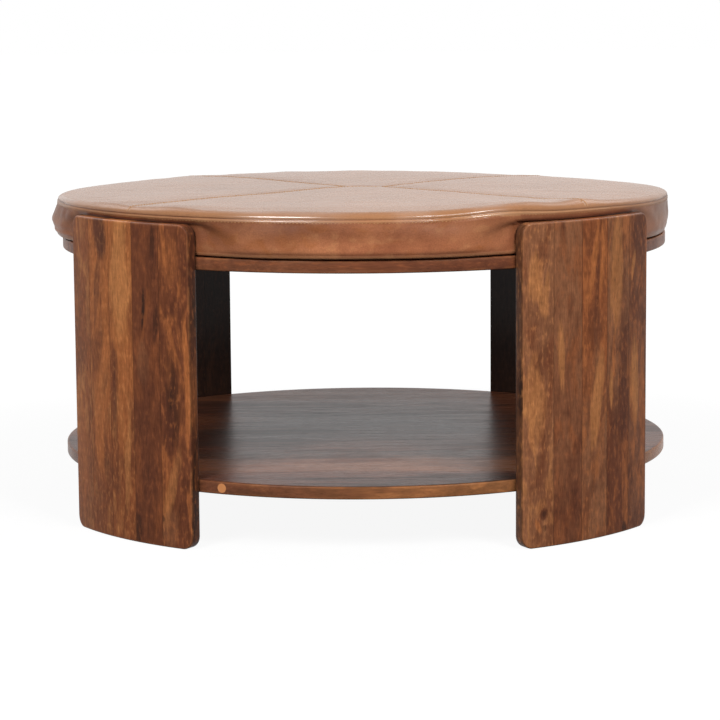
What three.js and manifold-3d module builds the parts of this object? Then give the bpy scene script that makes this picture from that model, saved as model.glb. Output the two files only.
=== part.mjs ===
// A low round table. Four curved legs, each glued up from upright staves, hold two round boards
// of edge-joined planks. A crowned leather pad lies loose on the upper board, between the leg tops.
// Lengths are millimetres and angles are degrees. +Z is up, the origin is on the floor at the
// table's centre, and -Y is its front. An azimuth is counted from the front towards +X.

import * as THREE from 'three';
import { mergeVertices } from 'three/addons/utils/BufferGeometryUtils.js';
import Module from 'manifold-3d';

const wasm = await Module();
wasm.setup();

// The whole table
const tableRadius = 400;
const clearance = 0.3;
const glueLine = 0.1;
const cutOverrun = 2;

// Legs
const legHeight = 382;
const legThickness = 17;
const legWidth = 218;
const legCornerRadius = 14.5;
const legArrisRadius = 2;
const stavesPerLeg = 5;
const legPlaces = [
  { name: 'front_left', azimuth: -46.2 },
  { name: 'front_right', azimuth: 42.7 },
  { name: 'rear_right', azimuth: 136.9 },
  { name: 'rear_left', azimuth: -135 },
];

// Boards. Each joint between two planks is a share of the board's radius, from the centre to the back.
const boardThickness = 15;
const boardEdgeRadius = 2;
const shelfUnderside = 66.5;
const legRise = 38.3;
const shelfJointShares = [-0.78, -0.37, -0.04, 0.36, 0.7];
const topBoardJointShares = [-0.67, -0.33, 0.03, 0.34, 0.69];

// Dowels between the boards and the legs, and the plug in the shelf's rim
const dowelRadius = 4;
const dowelChamfer = 0.8;
const dowelBoardDepth = 19;
const dowelLegCover = 6;
const dowelGlueSpace = 0.8;
const plugRadius = 5.6;
const plugLength = 12;
const plugAzimuth = -26.1;

// Pad
const leatherThickness = 1.5;
const padSeamOverhang = 5;
const padSeamLift = 9;
const padCrownRise = 9;
const padBulge = 6.5;
const padSideClearance = 0.8;
const padFreeMargin = 18;
const padFootRadius = 3;
const padHemWidth = 28;
const padCentreSeamLength = 48;
const padSeamDip = 1.2;
const padSeamDipWidth = 7;
const padSeamAzimuths = { frontLeft: -45.9, frontRight: 42.7, backRight: 140, backLeft: -140 };
const padBaseThickness = 9;
const padBaseFit = 2;
const padClothThickness = 1;
const padClothInset = 8;

// Levels that follow from the sizes above
const legInnerRadius = tableRadius - legThickness;
const boardRadius = legInnerRadius - clearance;
const topBoardTop = legHeight - legRise;
const topBoardUnderside = topBoardTop - boardThickness;
const legHalfAngle = THREE.MathUtils.radToDeg(legWidth / tableRadius) / 2;
const stavePitch = legWidth / stavesPerLeg;

// How finely curves are cut into facets
const boardFacets = 96;
const padFacets = 56;
const dowelFacets = 10;
const arrisSteps = 2;
const cornerSteps = 4;
const staveSteps = 3;

// Finishes
const staveColours = [0x7d5a40, 0x7a4a2c, 0x9a5d32, 0x5c3425, 0x8a5230];
const plankColours = [0x5f3a28, 0x6a4430, 0x583626, 0x6e4832, 0x60402f, 0x674230];

function wood(colour) {
  return new THREE.MeshStandardMaterial({ color: colour, roughness: 0.42, metalness: 0 });
}

const leather = new THREE.MeshStandardMaterial({ color: 0xa06840, roughness: 0.5, metalness: 0 });
const foam = new THREE.MeshStandardMaterial({ color: 0xe6dcb8, roughness: 0.95, metalness: 0 });
const plywood = new THREE.MeshStandardMaterial({ color: 0xc7a676, roughness: 0.7, metalness: 0 });
const darkCloth = new THREE.MeshStandardMaterial({ color: 0x1c1a19, roughness: 0.95, metalness: 0 });
const beech = new THREE.MeshStandardMaterial({ color: 0xcaa57c, roughness: 0.7, metalness: 0 });
const plugWood = new THREE.MeshStandardMaterial({ color: 0xa9703f, roughness: 0.5, metalness: 0 });

function named(name, geometry, material) {
  const mesh = new THREE.Mesh(geometry, material);
  mesh.name = name;
  return mesh;
}

// A point at a radius and an azimuth in degrees, at height z.
function polar(radius, azimuth, z) {
  const angle = THREE.MathUtils.degToRad(azimuth);
  return new THREE.Vector3(radius * Math.sin(angle), -radius * Math.cos(angle), z);
}

// One closed body from a grid of points: every row is a closed loop of equal length. An open run
// of rows gets a fan of triangles at each end, and a closed run joins its last row to its first.
function loft(rows, closed) {
  const count = rows[0].length;
  const positions = rows.flat().flatMap((p) => [p.x, p.y, p.z]);
  const index = [];
  const runs = closed ? rows.length : rows.length - 1;
  for (let i = 0; i < runs; i++) {
    const here = i * count;
    const next = ((i + 1) % rows.length) * count;
    for (let j = 0; j < count; j++) {
      const k = (j + 1) % count;
      index.push(here + j, next + j, next + k);
      index.push(here + j, next + k, here + k);
    }
  }
  if (!closed) {
    const last = (rows.length - 1) * count;
    for (let j = 1; j < count - 1; j++) {
      index.push(0, j, j + 1);
      index.push(last, last + j + 1, last + j);
    }
  }
  return tidy(positions, index);
}

// Merges the points that coincide and drops the triangles that this leaves without an area.
function tidy(positions, index) {
  const raw = new THREE.BufferGeometry();
  raw.setAttribute('position', new THREE.Float32BufferAttribute(positions, 3));
  raw.setIndex(index);
  const merged = mergeVertices(raw);
  const corners = merged.index.array;
  const kept = [];
  for (let i = 0; i < corners.length; i += 3) {
    const [a, b, c] = corners.slice(i, i + 3);
    if (a !== b && b !== c && c !== a) kept.push(a, b, c);
  }
  merged.setIndex(kept);
  merged.computeVertexNormals();
  return merged;
}

// Between three.js geometry and manifold solids, for joins and cuts
function toSolid(geometry) {
  const bare = new THREE.BufferGeometry();
  bare.setAttribute('position', geometry.getAttribute('position'));
  bare.setIndex(geometry.index);
  const merged = mergeVertices(bare);
  const vertProperties = new Float32Array(merged.getAttribute('position').array);
  const kept = [];
  const corners = merged.index.array;
  for (let i = 0; i < corners.length; i += 3) {
    const [a, b, c] = corners.slice(i, i + 3);
    if (a !== b && b !== c && c !== a) kept.push(a, b, c);
  }
  const triVerts = new Uint32Array(kept);
  return new wasm.Manifold(new wasm.Mesh({ numProp: 3, vertProperties, triVerts }));
}

function toGeometry(solid) {
  const mesh = solid.getMesh();
  const geometry = new THREE.BufferGeometry();
  const points = [];
  for (let i = 0; i < mesh.vertProperties.length; i += mesh.numProp) {
    points.push(...mesh.vertProperties.slice(i, i + 3));
  }
  geometry.setAttribute('position', new THREE.Float32BufferAttribute(points, 3));
  geometry.setIndex([...mesh.triVerts]);
  geometry.computeVertexNormals();
  return geometry;
}

// A solid of revolution about +Z from a profile of [radius, height] points that starts and ends
// on the axis. The profile runs from its lower end to its upper end.
function turned(profile, facets) {
  const points = profile.map(([radius, height]) => new THREE.Vector2(radius, height));
  const geometry = new THREE.LatheGeometry(points, facets);
  geometry.rotateX(Math.PI / 2);
  return geometry;
}

// The profile of a disc with eased edges
function discProfile(radius, low, high, ease) {
  const profile = [[0, low]];
  for (let i = 0; i <= arrisSteps; i++) {
    const angle = (Math.PI / 2) * (i / arrisSteps);
    profile.push([radius - ease + ease * Math.sin(angle), low + ease - ease * Math.cos(angle)]);
  }
  for (let i = 0; i <= arrisSteps; i++) {
    const angle = (Math.PI / 2) * (i / arrisSteps);
    profile.push([radius - ease + ease * Math.cos(angle), high - ease + ease * Math.sin(angle)]);
  }
  profile.push([0, high]);
  return profile;
}

// A round pin along +Z with chamfered ends, from the origin up
function pinGeometry(radius, length, chamfer) {
  const profile = [
    [0, 0],
    [radius - chamfer, 0],
    [radius, chamfer],
    [radius, length - chamfer],
    [radius - chamfer, length],
    [0, length],
  ];
  return turned(profile, dowelFacets);
}

// Turns +Z outwards along an azimuth and starts it at a radius and a height.
function radialMatrix(azimuth, radius, height) {
  const matrix = new THREE.Matrix4().makeRotationZ(THREE.MathUtils.degToRad(azimuth));
  matrix.multiply(new THREE.Matrix4().makeRotationX(Math.PI / 2));
  return matrix.premultiply(new THREE.Matrix4().makeTranslation(polar(radius, azimuth, height)));
}

// A bore for a pin, from one radius out to another
function radialBore(radius, azimuth, height, from, to) {
  const profile = [
    [0, 0],
    [radius, 0],
    [radius, to - from],
    [0, to - from],
  ];
  const bore = turned(profile, dowelFacets);
  bore.applyMatrix4(radialMatrix(azimuth, from, height));
  return toSolid(bore);
}

// Where the dowels lie: in the second stave from each side of a leg, halfway up each board.
const dowelOffsets = [-stavePitch, stavePitch].map((arc) => THREE.MathUtils.radToDeg(arc / tableRadius));
const dowelLevels = [
  { board: 'shelf', height: shelfUnderside + boardThickness / 2 },
  { board: 'top', height: topBoardUnderside + boardThickness / 2 },
];
const dowelInnerEnd = boardRadius - dowelBoardDepth;
const dowelOuterEnd = tableRadius - dowelLegCover;

function dowelBore(azimuth, height) {
  const from = dowelInnerEnd - dowelGlueSpace;
  const to = dowelOuterEnd + dowelGlueSpace;
  return radialBore(dowelRadius + clearance, azimuth, height, from, to);
}

// One stave's section at an arc length along the leg's outer face. The leg's outline has rounded
// corners, and its arrises are eased all round: each step of the easing lies further in from the
// outline and nearer the face.
function staveSection(arc) {
  const beyondCorner = legWidth / 2 - legCornerRadius;
  const fromSide = legWidth / 2 - Math.abs(arc);
  const corner = [];
  for (let i = 0; i <= arrisSteps; i++) {
    const turn = (Math.PI / 2) * (i / arrisSteps);
    const stepInset = legArrisRadius * (1 - Math.cos(turn));
    const inset = Math.min(stepInset, fromSide);
    const fromFace = legArrisRadius - Math.sqrt(legArrisRadius ** 2 - (legArrisRadius - inset) ** 2);
    const reach = Math.max(Math.abs(arc) - beyondCorner, 0);
    const radius = legCornerRadius - inset;
    const height = legCornerRadius - Math.sqrt(Math.max(radius ** 2 - reach ** 2, 0));
    corner.push({ fromFace, height });
  }
  const azimuth = THREE.MathUtils.radToDeg(arc / tableRadius);
  const outer = corner.map((c) => [tableRadius - c.fromFace, c.height]);
  const inner = corner.map((c) => [legInnerRadius + c.fromFace, c.height]);
  const loop = [
    ...outer.map(([r, z]) => [r, z]),
    ...outer.map(([r, z]) => [r, legHeight - z]).reverse(),
    ...inner.map(([r, z]) => [r, legHeight - z]),
    ...inner.map(([r, z]) => [r, z]).reverse(),
  ];
  return loop.map(([r, z]) => polar(r, azimuth, z));
}

// The places along a leg where its shape needs a section: its easing, its corners and its curve
function staveArcs(from, to) {
  const half = legWidth / 2;
  const insets = [];
  for (let i = 0; i <= arrisSteps; i++) {
    insets.push(legArrisRadius * (1 - Math.cos((Math.PI / 2) * (i / arrisSteps))));
  }
  for (let i = 1; i <= cornerSteps; i++) {
    insets.push(legCornerRadius * (1 - Math.cos((Math.PI / 2) * (i / cornerSteps))));
  }
  const edges = insets.filter((inset) => inset === 0 || inset >= legArrisRadius / cornerSteps);
  const arcs = edges.flatMap((inset) => [inset - half, half - inset]);
  for (let i = 1; i < staveSteps; i++) {
    arcs.push(from + (to - from) * (i / staveSteps));
  }
  const within = arcs.filter((arc) => arc > from + glueLine && arc < to - glueLine);
  return [from, ...within.sort((a, b) => a - b), to];
}

function staveGeometry(number) {
  const half = legWidth / 2;
  const from = number === 0 ? -half : number * stavePitch - half + glueLine / 2;
  const to = number === stavesPerLeg - 1 ? half : (number + 1) * stavePitch - half - glueLine / 2;
  return loft(staveArcs(from, to).map(staveSection), false);
}

// A leg in its own frame, with its middle at the front: five staves and the dowels that it holds
function leg(place) {
  const group = new THREE.Group();
  const bores = dowelOffsets.flatMap((offset) => dowelLevels.map(({ height }) => dowelBore(offset, height)));
  for (let i = 0; i < stavesPerLeg; i++) {
    let geometry = staveGeometry(i);
    const middle = THREE.MathUtils.radToDeg(((i + 0.5) * stavePitch - legWidth / 2) / tableRadius);
    if (dowelOffsets.some((offset) => Math.abs(offset - middle) < legHalfAngle / stavesPerLeg)) {
      geometry = toGeometry(bores.reduce((solid, bore) => solid.subtract(bore), toSolid(geometry)));
    }
    group.add(named(`leg_${place.name}_stave_${i + 1}`, geometry, wood(staveColours[i])));
  }
  group.rotation.z = THREE.MathUtils.degToRad(place.azimuth);
  return group;
}

// The dowels of every leg, in world places
function dowels() {
  const group = new THREE.Group();
  const geometry = pinGeometry(dowelRadius, dowelOuterEnd - dowelInnerEnd, dowelChamfer);
  for (const place of legPlaces) {
    for (const { board, height } of dowelLevels) {
      dowelOffsets.forEach((offset, i) => {
        const dowel = named(`dowel_${board}_${place.name}_${i + 1}`, geometry, beech);
        dowel.applyMatrix4(radialMatrix(place.azimuth + offset, dowelInnerEnd, height));
        group.add(dowel);
      });
    }
  }
  return group;
}

// A board before its planks are parted: a round disc with eased edges and a bore for each dowel
function boardSolid(underside, level) {
  const profile = discProfile(boardRadius, underside, underside + boardThickness, boardEdgeRadius);
  let board = toSolid(turned(profile, boardFacets));
  for (const place of legPlaces) {
    for (const offset of dowelOffsets) {
      board = board.subtract(dowelBore(place.azimuth + offset, level.height));
    }
  }
  return board;
}

// Parts a board into planks that run left to right, with a glue line between neighbours.
function planks(name, board, underside, jointShares, colours) {
  const group = new THREE.Group();
  const joints = jointShares.map((share) => share * boardRadius);
  const edges = [-boardRadius - cutOverrun, ...joints, boardRadius + cutOverrun];
  for (let i = 0; i < edges.length - 1; i++) {
    const low = edges[i] + glueLine / 2;
    const high = edges[i + 1] - glueLine / 2;
    const width = 2 * (boardRadius + cutOverrun);
    const slab = new THREE.BoxGeometry(width, high - low, boardThickness + 2 * cutOverrun);
    slab.translate(0, (low + high) / 2, underside + boardThickness / 2);
    const plank = board.intersect(toSolid(slab));
    group.add(named(`${name}_plank_${i + 1}`, toGeometry(plank), wood(colours[i % colours.length])));
  }
  return group;
}

// The shelf, with the plug that closes a bore in its rim
function shelf() {
  const group = new THREE.Group();
  const level = dowelLevels[0];
  const solid = boardSolid(shelfUnderside, level);
  const from = boardRadius - plugLength;
  const to = boardRadius + cutOverrun;
  const bore = radialBore(plugRadius + clearance, plugAzimuth, level.height, from - clearance, to);
  const plug = radialBore(plugRadius, plugAzimuth, level.height, from, to).intersect(solid);
  group.add(named('shelf_rim_plug', toGeometry(plug), plugWood));
  group.add(planks('shelf', solid.subtract(bore), shelfUnderside, shelfJointShares, plankColours));
  return group;
}

function topBoard() {
  const solid = boardSolid(topBoardUnderside, dowelLevels[1]);
  return planks('top_board', solid, topBoardUnderside, topBoardJointShares, [...plankColours].reverse());
}

// The pad is drawn in heights above its own underside, which rests on the upper board.
const padUnderside = topBoardTop + clearance;
const padSeamHeight = legHeight + padSeamLift - padUnderside;
const padSeamRadius = legInnerRadius + padSeamOverhang;
const padHeldRadius = legInnerRadius - padSideClearance;
const padHemHeight = padClothThickness + clearance;
const padBaseHeight = padHemHeight + leatherThickness + clearance;
const padFoamHeight = padBaseHeight + padBaseThickness + clearance;
const padBandTop = padSeamHeight - leatherThickness - clearance;
const legTopHeight = legHeight - padUnderside;
const padRows = Array.from({ length: padFacets }, (_, i) => (360 * i) / padFacets - 180);

// The seams of the pad's top, from the centre seam's two ends to the rim
const padSeams = {
  frontLeft: { start: -padCentreSeamLength / 2, azimuth: padSeamAzimuths.frontLeft },
  frontRight: { start: padCentreSeamLength / 2, azimuth: padSeamAzimuths.frontRight },
  backRight: { start: padCentreSeamLength / 2, azimuth: padSeamAzimuths.backRight },
  backLeft: { start: -padCentreSeamLength / 2, azimuth: padSeamAzimuths.backLeft },
};

function seamPoint(seam, share) {
  const start = new THREE.Vector3(seam.start, 0, 0);
  return start.lerp(polar(padSeamRadius, seam.azimuth, 0), share);
}

// The distance in plan from a point to the nearest seam
function distanceToSeam(point) {
  const flat = point.clone().setZ(0);
  const lines = Object.values(padSeams).map((seam) => new THREE.Line3(seamPoint(seam, 0), seamPoint(seam, 1)));
  lines.push(new THREE.Line3(seamPoint(padSeams.frontLeft, 0), seamPoint(padSeams.frontRight, 0)));
  const nearest = new THREE.Vector3();
  return Math.min(...lines.map((line) => line.closestPointToPoint(flat, true, nearest).distanceTo(flat)));
}

// The crowned top falls slowly from the middle, and fast at the rim. The seams pull it down in
// shallow valleys, which run out at the rim.
function crownShare(radius) {
  return 1 - Math.min(radius / padSeamRadius, 1) ** 6;
}

function crownHeight(radius) {
  return padSeamHeight + padCrownRise * crownShare(radius);
}

function leatherTop(point) {
  const radius = Math.hypot(point.x, point.y);
  const valley = Math.exp(-((distanceToSeam(point) / padSeamDipWidth) ** 2));
  return crownHeight(radius) - padSeamDip * valley * crownShare(radius);
}

// A leather panel of the top: ruled from an inner edge out to the rim, and one leather thick
function topPanel(first, second) {
  const acrossShares = [0, 0.02, 0.05, 0.14, 0.26, 0.38, 0.5, 0.62, 0.74, 0.86, 0.95, 0.98, 1];
  const outShares = [0, 0.45, 0.75, 0.92, 1];
  const upper = acrossShares.map((across) => {
    const inner = seamPoint(first, 0).lerp(seamPoint(second, 0), across);
    const sweep = THREE.MathUtils.euclideanModulo(second.azimuth - first.azimuth, 360);
    const outer = polar(padSeamRadius, first.azimuth + sweep * across, 0);
    return outShares.map((out) => {
      const point = inner.clone().lerp(outer, out);
      return point.setZ(leatherTop(point));
    });
  });
  const rows = upper.map((row) => {
    const lower = row.map((point) => point.clone().setZ(point.z - leatherThickness));
    return [...row, ...lower.reverse()];
  });
  return panelSkin(rows, outShares.length);
}

// Closes a panel's rows: their loops are joined across, and each end is a strip between the edges.
function panelSkin(rows, half) {
  const count = 2 * half;
  const positions = rows.flat().flatMap((p) => [p.x, p.y, p.z]);
  const index = [];
  for (let i = 0; i < rows.length - 1; i++) {
    for (let j = 0; j < count; j++) {
      const k = (j + 1) % count;
      const here = i * count;
      const next = here + count;
      index.push(here + j, here + k, next + k);
      index.push(here + j, next + k, next + j);
    }
  }
  const last = (rows.length - 1) * count;
  for (let j = 0; j < half - 1; j++) {
    const under = count - 1 - j;
    index.push(j, under, under - 1);
    index.push(j, under - 1, j + 1);
    index.push(last + j, last + under - 1, last + under);
    index.push(last + j, last + j + 1, last + under - 1);
  }
  return tidy(positions, index);
}

// How freely the pad's side swells at an azimuth: not at all beside a leg, fully midway
// between two legs.
function freedom(azimuth) {
  const margin = legHalfAngle + THREE.MathUtils.radToDeg(padFreeMargin / tableRadius);
  const room = 360 / legPlaces.length / 2 - margin;
  const shares = legPlaces.map((place) => {
    const turn = THREE.MathUtils.euclideanModulo(azimuth - place.azimuth + 180, 360) - 180;
    return THREE.MathUtils.clamp((Math.abs(turn) - margin) / room, 0, 1);
  });
  return Math.sin((Math.PI / 2) * Math.min(...shares)) ** 2;
}

// The side's outer radius. Between the legs it swells and is drawn in at its foot. Beside a leg
// it runs straight down inside the leg, and swells over the leg's top only above it.
function sideRadius(height, azimuth) {
  const down = (padSeamHeight - height) / (padSeamHeight - padHemHeight);
  const sag = (padHeldRadius - padSeamRadius) * down ** 3;
  const free = padSeamRadius + sag + padBulge * Math.sin(Math.PI * down);
  const overLeg = THREE.MathUtils.smoothstep(height, legTopHeight, padBandTop);
  const held = padHeldRadius + (padSeamRadius - padHeldRadius) * overLeg;
  return held + (free - held) * freedom(azimuth);
}

// Heights of the side's rows, from the seam down to where the foot rounds in
function sideHeights() {
  const foot = padHemHeight + padFootRadius;
  const belowShares = [0, 0.34, 0.68, 1];
  const below = belowShares.map((share) => legTopHeight + (foot - legTopHeight) * share);
  return [padBandTop, ...below];
}

// The side band: outer skin down to the foot, in under the base as a hem, and back up inside
function sideBand() {
  const rows = padRows.map((azimuth) => {
    const outer = sideHeights().map((height) => [sideRadius(height, azimuth), height]);
    const footRadius = outer[outer.length - 1][0] - padFootRadius;
    const hem = [
      [footRadius, padHemHeight],
      [footRadius - padHemWidth, padHemHeight],
      [footRadius - padHemWidth, padHemHeight + leatherThickness],
      [footRadius, padHemHeight + leatherThickness],
    ];
    const inner = outer.map(([r, z]) => [r - leatherThickness, z]).reverse();
    return [...outer, ...hem, ...inner].map(([r, z]) => polar(r, azimuth, z));
  });
  return loft(rows.reverse(), true);
}

// The foam core fills the leather, a little clear of it, and rests on the base.
function foamCore() {
  const air = leatherThickness + 2 * clearance;
  const crownShares = [0.93, 0.82, 0.62, 0.35];
  const rows = padRows.map((azimuth) => {
    const [, legTopLevel, upper, lower] = sideHeights();
    const heights = [padFoamHeight, lower, upper, legTopLevel];
    const side = heights.map((height) => [sideRadius(height, azimuth) - air, height]);
    const crown = crownShares.map((share) => {
      const radius = share * padHeldRadius;
      return [radius, crownHeight(radius) - padSeamDip - air];
    });
    const top = crownHeight(0) - padSeamDip - air;
    return [[0, padFoamHeight], ...side, ...crown, [0, top]].map(([r, z]) => polar(r, azimuth, z));
  });
  return loft(rows, true);
}

function pad() {
  const group = new THREE.Group();
  group.add(named('pad_leather_front', topPanel(padSeams.frontLeft, padSeams.frontRight), leather));
  group.add(named('pad_leather_right', topPanel(padSeams.frontRight, padSeams.backRight), leather));
  group.add(named('pad_leather_back', topPanel(padSeams.backRight, padSeams.backLeft), leather));
  group.add(named('pad_leather_left', topPanel(padSeams.backLeft, padSeams.frontLeft), leather));
  group.add(named('pad_leather_side', sideBand(), leather));
  group.add(named('pad_foam', foamCore(), foam));
  const baseRadius = padHeldRadius - leatherThickness - padBaseFit;
  const baseTop = padBaseHeight + padBaseThickness;
  const base = discProfile(baseRadius, padBaseHeight, baseTop, leatherThickness);
  group.add(named('pad_base', turned(base, padFacets), plywood));
  const cloth = [
    [0, 0],
    [padHeldRadius - padClothInset, 0],
    [padHeldRadius - padClothInset, padClothThickness],
    [0, padClothThickness],
  ];
  group.add(named('pad_underside_cloth', turned(cloth, padFacets), darkCloth));
  group.position.z = padUnderside;
  return group;
}

const table = new THREE.Group();
legPlaces.forEach((place) => table.add(leg(place)));
table.add(dowels(), shelf(), topBoard(), pad());

export default table;
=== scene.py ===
# A low round table: four legs glued up from staves, two round boards and a loose leather pad.
# Every length is in metres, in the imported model's own frame: +Z is up, and -Y is the front.

import math

import bmesh
import bpy
import numpy as np
from mathutils import Matrix, Vector, noise
from mathutils.geometry import delaunay_2d_cdt
from mathutils.kdtree import KDTree


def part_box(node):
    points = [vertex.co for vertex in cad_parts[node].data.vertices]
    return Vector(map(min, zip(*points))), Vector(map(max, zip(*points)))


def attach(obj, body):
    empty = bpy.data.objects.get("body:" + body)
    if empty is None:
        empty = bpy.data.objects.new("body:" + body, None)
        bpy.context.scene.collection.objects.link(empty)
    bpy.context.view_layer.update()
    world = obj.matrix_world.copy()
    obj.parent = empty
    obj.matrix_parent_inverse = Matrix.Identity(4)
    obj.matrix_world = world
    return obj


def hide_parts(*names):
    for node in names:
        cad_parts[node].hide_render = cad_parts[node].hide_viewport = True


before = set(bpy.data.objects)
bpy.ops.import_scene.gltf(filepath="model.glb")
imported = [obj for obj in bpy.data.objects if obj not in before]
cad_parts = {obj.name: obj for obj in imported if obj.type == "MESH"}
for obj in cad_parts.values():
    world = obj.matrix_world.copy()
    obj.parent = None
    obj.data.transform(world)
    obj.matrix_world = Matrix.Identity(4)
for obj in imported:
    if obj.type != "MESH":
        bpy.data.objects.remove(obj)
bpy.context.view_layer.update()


# THE LEGS
# Each leg is a curved panel, glued up from five upright staves of hardwood along radial joints.
# Its corners are rounded and its arrises eased. It is stained brown and lacquered to a satin,
# and the two boards are dowelled to its inner face.

leg_azimuths = {"front_left": -46.2, "front_right": 42.7, "rear_right": 136.9, "rear_left": -135.0}
leg_outer_radius = 0.400
leg_thickness = 0.017
leg_height = 0.382
leg_width = 0.218
leg_corner_radius = 0.0145
leg_arris_radius = 0.002
wear_width = 0.006
easing_angles = (0, 22.5, 45, 67.5, 90)
corner_angles = range(36, 91, 6)
stave_count = 5
stave_pitch = leg_width / stave_count
glue_line = 0.0001

# Distances from an edge, from where each of these begins to where it is full
edge_stain = (0.0013, 0.0003)
joint_line = (0.0009, 0.0002)
worn_arris = (0.0030, 0.0010)


def rgb(hexadecimal):
    """A paint chart's colour as the linear numbers that a shader takes"""
    shares = [int(hexadecimal[i:i + 2], 16) / 255 for i in (0, 2, 4)]
    linear = [s / 12.92 if s <= 0.04045 else ((s + 0.055) / 1.055) ** 2.4 for s in shares]
    return (*linear, 1.0)


stains = {
    "umber": rgb("5a3324"),
    "russet": rgb("70402a"),
    "walnut": rgb("7a4c34"),
    "hazel": rgb("8a5a3e"),
    "chestnut": rgb("8e5231"),
    "amber": rgb("ad683c"),
    "honey": rgb("be7e4c"),
    "smoke": rgb("33211a"),
    "ebony": rgb("1d1a19"),
}


def around(radius, azimuth, height):
    """A point at a radius and an azimuth in degrees, counted from the front towards +X"""
    turn = math.radians(azimuth)
    return Vector((radius * math.sin(turn), -radius * math.cos(turn), height))


def fill(node, values):
    """Gives a node's sockets their values, or the links that a Shade stands for"""
    for place, value in values.items():
        if isinstance(value, Shade):
            value.tree.links.new(value.socket, node.inputs[place])
        else:
            node.inputs[place].default_value = value


class Shade:
    """One socket of a finish. Arithmetic on it adds Math nodes, and node() adds any other."""

    def __init__(self, tree, socket=None):
        self.tree, self.socket = tree, socket

    def node(self, kind, settings, values, output=0):
        made = self.tree.nodes.new(kind if "Node" in kind else "ShaderNode" + kind)
        for setting, value in settings.items():
            setattr(made, setting, value)
        fill(made, values)
        return Shade(self.tree, made.outputs[output] if made.outputs else None)

    def maths(self, operation, *values):
        return self.node("Math", {"operation": operation}, dict(enumerate(values)))

    def __add__(self, other):
        return self.maths("ADD", self, other)

    def __radd__(self, other):
        return self.maths("ADD", other, self)

    def __sub__(self, other):
        return self.maths("SUBTRACT", self, other)

    def __rsub__(self, other):
        return self.maths("SUBTRACT", other, self)

    def __mul__(self, other):
        return self.maths("MULTIPLY", self, other)

    def __rmul__(self, other):
        return self.maths("MULTIPLY", other, self)

    def __truediv__(self, other):
        return self.maths("DIVIDE", self, other)

    def __pow__(self, other):
        return self.maths("POWER", self, other)

    def __abs__(self):
        return self.maths("ABSOLUTE", self)

    def wave(self):
        """The sine of this number"""
        return self.maths("SINE", self)

    def mask(self, start, full):
        """0 at start and 1 at full, with a soft change between them"""
        return self.node("MapRange", {"interpolation_type": "SMOOTHSTEP"}, {0: self, 1: start, 2: full})

    def part(self, index):
        """One of a place's three numbers"""
        return self.node("SeparateXYZ", {}, {0: self}, index)

    def noted(self, name, output=2):
        """What note() wrote on a piece: a number, or a vector with output 1"""
        return self.node("Attribute", {"attribute_name": name}, {}, output)

    def cloud(self, cycles, detail=2.0, seed=0.0, distortion=0.0):
        """Noise about 0.5, with its cycles in a metre along each direction"""
        shift = (seed, 2.3 * seed, 1.7 * seed)
        moved = self.node("VectorMath", {"operation": "MULTIPLY_ADD"}, {0: self, 1: cycles, 2: shift})
        look = {"Vector": moved, "Scale": 1.0, "Detail": detail, "Distortion": distortion}
        return self.node("TexNoise", {}, look)

    def blend(self, first, second):
        """From one colour to another, as this number goes from 0 to 1"""
        return self.node("Mix", {"data_type": "RGBA"}, {0: self, 6: first, 7: second}, 2)

    def under(self, colour, mask):
        """This colour, with another laid over it as far as a mask says"""
        return mask.blend(self, colour)

    def times(self, share):
        """This colour, made lighter or darker"""
        return self.node("VectorMath", {"operation": "SCALE"}, {0: self, 3: share})

    def bump(self, strength, distance=0.0002):
        """This height as a Normal"""
        return self.node("Bump", {}, {"Strength": strength, "Distance": distance, "Height": self})


def finish_of(name, roughness, specular=0.2):
    """A new finish: its material, its shader, and the place on the piece as a first Shade"""
    material = bpy.data.materials.new(name)
    material.use_nodes = True
    shader = material.node_tree.nodes["Principled BSDF"]
    fill(shader, {"Roughness": roughness, "Specular IOR Level": specular})
    return material, shader, Shade(material.node_tree).node("TexCoord", {}, {}, 3)


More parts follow.
